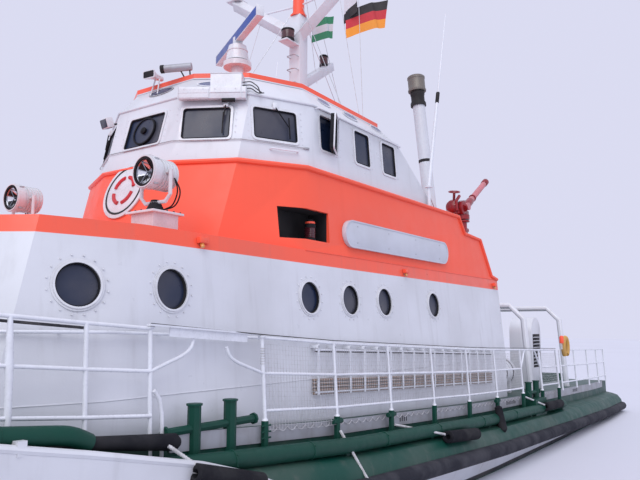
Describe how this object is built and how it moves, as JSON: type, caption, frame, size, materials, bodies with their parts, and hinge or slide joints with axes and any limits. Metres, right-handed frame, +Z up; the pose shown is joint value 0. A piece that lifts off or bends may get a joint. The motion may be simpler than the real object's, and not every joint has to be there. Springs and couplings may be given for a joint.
{
  "type": "sea rescue cruiser",
  "caption": "Full-size decked rescue vessel with stern well, two-tier deckhouse, wheelhouse, mast, radar, searchlights, fire monitor, rails, propellers and rudders.",
  "frame": {"origin": "on the centreline at the waterline, amidships", "axes": "+X towards the bow, +Y to port, +Z up"},
  "size_m": [27.5, 6.53, 13.28],
  "materials": {
    "hull_white": "semi-gloss white paint on aluminium",
    "house_white": "semi-gloss white paint on aluminium",
    "signal_orange": "glossy daylight orange-red paint",
    "deck_green": "dark green enamel",
    "strake_rubber": "matt black rubber",
    "window_glass": "clear glass",
    "board_white": "white sign enamel",
    "rail_white": "white paint on tube",
    "lamp_white": "white enamel",
    "monitor_red": "dark red enamel",
    "shaft_steel": "bright stainless steel",
    "propeller_bronze": "polished bronze"
  },
  "bodies": {
    "ship": {"hull": "hull_white", "forward_bulwark": "hull_white", "rubber_strake_port": "strake_rubber", "rubber_strake_starboard": "strake_rubber", "deck_edge_tube_port": "deck_green", "deck_edge_tube_starboard": "deck_green", "lower_deckhouse": "house_white", "upper_deckhouse": "signal_orange", "wheelhouse": "house_white", "wheelhouse_glazing": "window_glass", "wheelhouse_roof": "house_white", "name_board_port": "board_white", "name_board_starboard": "board_white", "emblem_plate": "board_white", "porthole_glass_port": "window_glass", "porthole_glass_starboard": "window_glass", "searchlight_box_port": "lamp_white", "searchlight_box_starboard": "lamp_white", "monitor_base": "monitor_red", "vent_pipe_port": "house_white", "vent_pipe_starboard": "house_white", "mast": "house_white", "mast_top_pole": "signal_orange", "radar_pedestal": "lamp_white", "roof_equipment_box": "lamp_white", "side_rail_port": "rail_white", "side_rail_starboard": "rail_white", "bow_rail": "rail_white", "stern_rail_port": "rail_white", "stern_rail_starboard": "rail_white", "vent_trunk_port": "house_white", "vent_trunk_starboard": "house_white", "towing_arch_fore": "rail_white", "towing_arch_aft": "rail_white", "shaft_port": "shaft_steel", "shaft_starboard": "shaft_steel", "hatch_coaming": "hull_white", "windlass": "deck_green", "life_raft_port": "lamp_white", "life_raft_starboard": "lamp_white"},
    "propeller_centre": {"propeller_centre": "propeller_bronze"},
    "propeller_port": {"propeller_port": "propeller_bronze"},
    "propeller_starboard": {"propeller_starboard": "propeller_bronze"},
    "rudder_port": {"rudder_port": "deck_green"},
    "rudder_starboard": {"rudder_starboard": "deck_green"},
    "radar_scanner": {"radar_scanner": "lamp_white"},
    "searchlight_yoke_port": {"searchlight_yoke_port": "lamp_white"},
    "searchlight_lamp_port": {"searchlight_lamp_port": "lamp_white"},
    "searchlight_yoke_starboard": {"searchlight_yoke_starboard": "lamp_white"},
    "searchlight_lamp_starboard": {"searchlight_lamp_starboard": "lamp_white"},
    "monitor_body": {"monitor_body": "monitor_red"},
    "monitor_barrel": {"monitor_barrel": "monitor_red"},
    "stern_gate": {"stern_gate": "deck_green"},
    "deckhouse_door": {"deckhouse_door": "house_white"},
    "hatch_lid": {"hatch_lid": "deck_green"},
    "rail_gate_bar_port": {"rail_gate_bar_port": "rail_white"},
    "rail_gate_bar_starboard": {"rail_gate_bar_starboard": "rail_white"}
  },
  "joints": [
    {"name": "propeller_centre_spin", "type": "hinge", "parent": "ship", "child": "propeller_centre", "pos_m": [-8.48, 0, -1.62], "axis": [1, 0, 0], "continuous": true},
    {"name": "propeller_port_spin", "type": "hinge", "parent": "ship", "child": "propeller_port", "pos_m": [-8.9, 1.45, -1.48], "axis": [1, 0, 0], "continuous": true},
    {"name": "propeller_starboard_spin", "type": "hinge", "parent": "ship", "child": "propeller_starboard", "pos_m": [-8.9, -1.45, -1.48], "axis": [1, 0, 0], "continuous": true},
    {"name": "rudder_port_turn", "type": "hinge", "parent": "ship", "child": "rudder_port", "pos_m": [-9.9, 1.45, -0.945], "axis": [0, 0, 1], "range_deg": [-35, 35]},
    {"name": "rudder_starboard_turn", "type": "hinge", "parent": "ship", "child": "rudder_starboard", "pos_m": [-9.9, -1.45, -0.945], "axis": [0, 0, 1], "range_deg": [-35, 35]},
    {"name": "radar_spin", "type": "hinge", "parent": "ship", "child": "radar_scanner", "pos_m": [2.16, 0, 7.73], "axis": [0, 0, 1], "continuous": true},
    {"name": "searchlight_port_pan", "type": "hinge", "parent": "ship", "child": "searchlight_yoke_port", "pos_m": [5.2, 1.45, 4.14], "axis": [0, 0, 1], "range_deg": [-170, 170]},
    {"name": "searchlight_port_tilt", "type": "hinge", "parent": "searchlight_yoke_port", "child": "searchlight_lamp_port", "pos_m": [5.2, 1.45, 4.63], "axis": [0, 1, 0], "range_deg": [-60, 30]},
    {"name": "searchlight_starboard_pan", "type": "hinge", "parent": "ship", "child": "searchlight_yoke_starboard", "pos_m": [5.2, -1.45, 4.14], "axis": [0, 0, 1], "range_deg": [-170, 170]},
    {"name": "searchlight_starboard_tilt", "type": "hinge", "parent": "searchlight_yoke_starboard", "child": "searchlight_lamp_starboard", "pos_m": [5.2, -1.45, 4.63], "axis": [0, 1, 0], "range_deg": [-60, 30]},
    {"name": "monitor_pan", "type": "hinge", "parent": "ship", "child": "monitor_body", "pos_m": [-3.2, 1.93, 5.12], "axis": [0, 0, 1], "range_deg": [-110, 110]},
    {"name": "monitor_elevation", "type": "hinge", "parent": "monitor_body", "child": "monitor_barrel", "pos_m": [-3.11, 1.94, 5.39], "axis": [0, 1, 0], "range_deg": [-32, 43]},
    {"name": "stern_gate_hinge", "type": "hinge", "parent": "ship", "child": "stern_gate", "pos_m": [-13.675, 0, 0.32], "axis": [0, -1, 0], "range_deg": [0, 95]},
    {"name": "deckhouse_door_hinge", "type": "hinge", "parent": "ship", "child": "deckhouse_door", "pos_m": [-4.4403, 0.449, 2.28], "axis": [0, 0, -1], "range_deg": [0, 110]},
    {"name": "hatch_lid_hinge", "type": "hinge", "parent": "ship", "child": "hatch_lid", "pos_m": [9.28, 0, 2.238], "axis": [0, -1, 0], "range_deg": [0, 100]},
    {"name": "rail_gate_port_swing", "type": "hinge", "parent": "ship", "child": "rail_gate_bar_port", "pos_m": [6.13, 2.5048, 2.7356], "axis": [0.0656, 0, -0.9978], "range_deg": [0, 90]},
    {"name": "rail_gate_starboard_swing", "type": "hinge", "parent": "ship", "child": "rail_gate_bar_starboard", "pos_m": [6.13, -2.5048, 2.7356], "axis": [-0.0656, 0, 0.9978], "range_deg": [0, 90]}
  ],
  "couplings": [
    {"joint": "rudder_starboard_turn", "follows": "rudder_port_turn", "ratio": 1}
  ]
}
